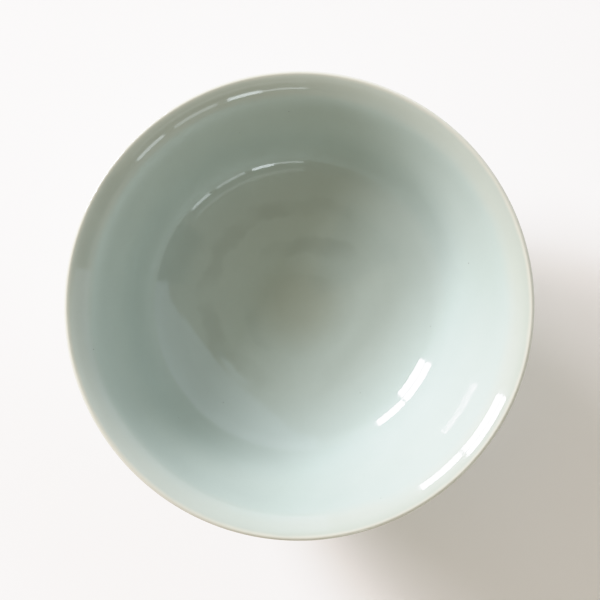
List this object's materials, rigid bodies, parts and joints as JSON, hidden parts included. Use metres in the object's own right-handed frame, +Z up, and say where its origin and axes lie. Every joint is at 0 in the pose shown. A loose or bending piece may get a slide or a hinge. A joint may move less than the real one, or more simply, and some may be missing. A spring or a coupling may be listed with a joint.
{
  "type": "rice bowl",
  "caption": "Round footed rice bowl in pale celadon-glazed porcelain, with a flared lip, a steep wall, a shallow well and an unglazed foot rim.",
  "frame": {"origin": "centre of the foot ring's resting plane, which is the lowest plane of the bowl", "axes": "+Z up along the bowl's axis of revolution, out of its mouth; +X and +Y are arbitrary, because the bowl is round"},
  "size_m": [0.116, 0.116, 0.0473],
  "materials": {
    "bare_clay": "unglazed fired porcelain, matt and slightly gritty, warm off-white",
    "inner_glaze": "glossy pale blue-green celadon, deeper where it is thick",
    "lip_glaze": "glossy celadon run thin, so the warm clay shows through",
    "outer_glaze": "glossy pale blue-green celadon",
    "foot_well_glaze": "glossy pale blue-green celadon"
  },
  "bodies": {
    "root": {"clay_body": "bare_clay", "inner_glaze": "inner_glaze", "lip_glaze": "lip_glaze", "outer_glaze": "outer_glaze", "foot_well_glaze": "foot_well_glaze"}
  },
  "joints": []
}
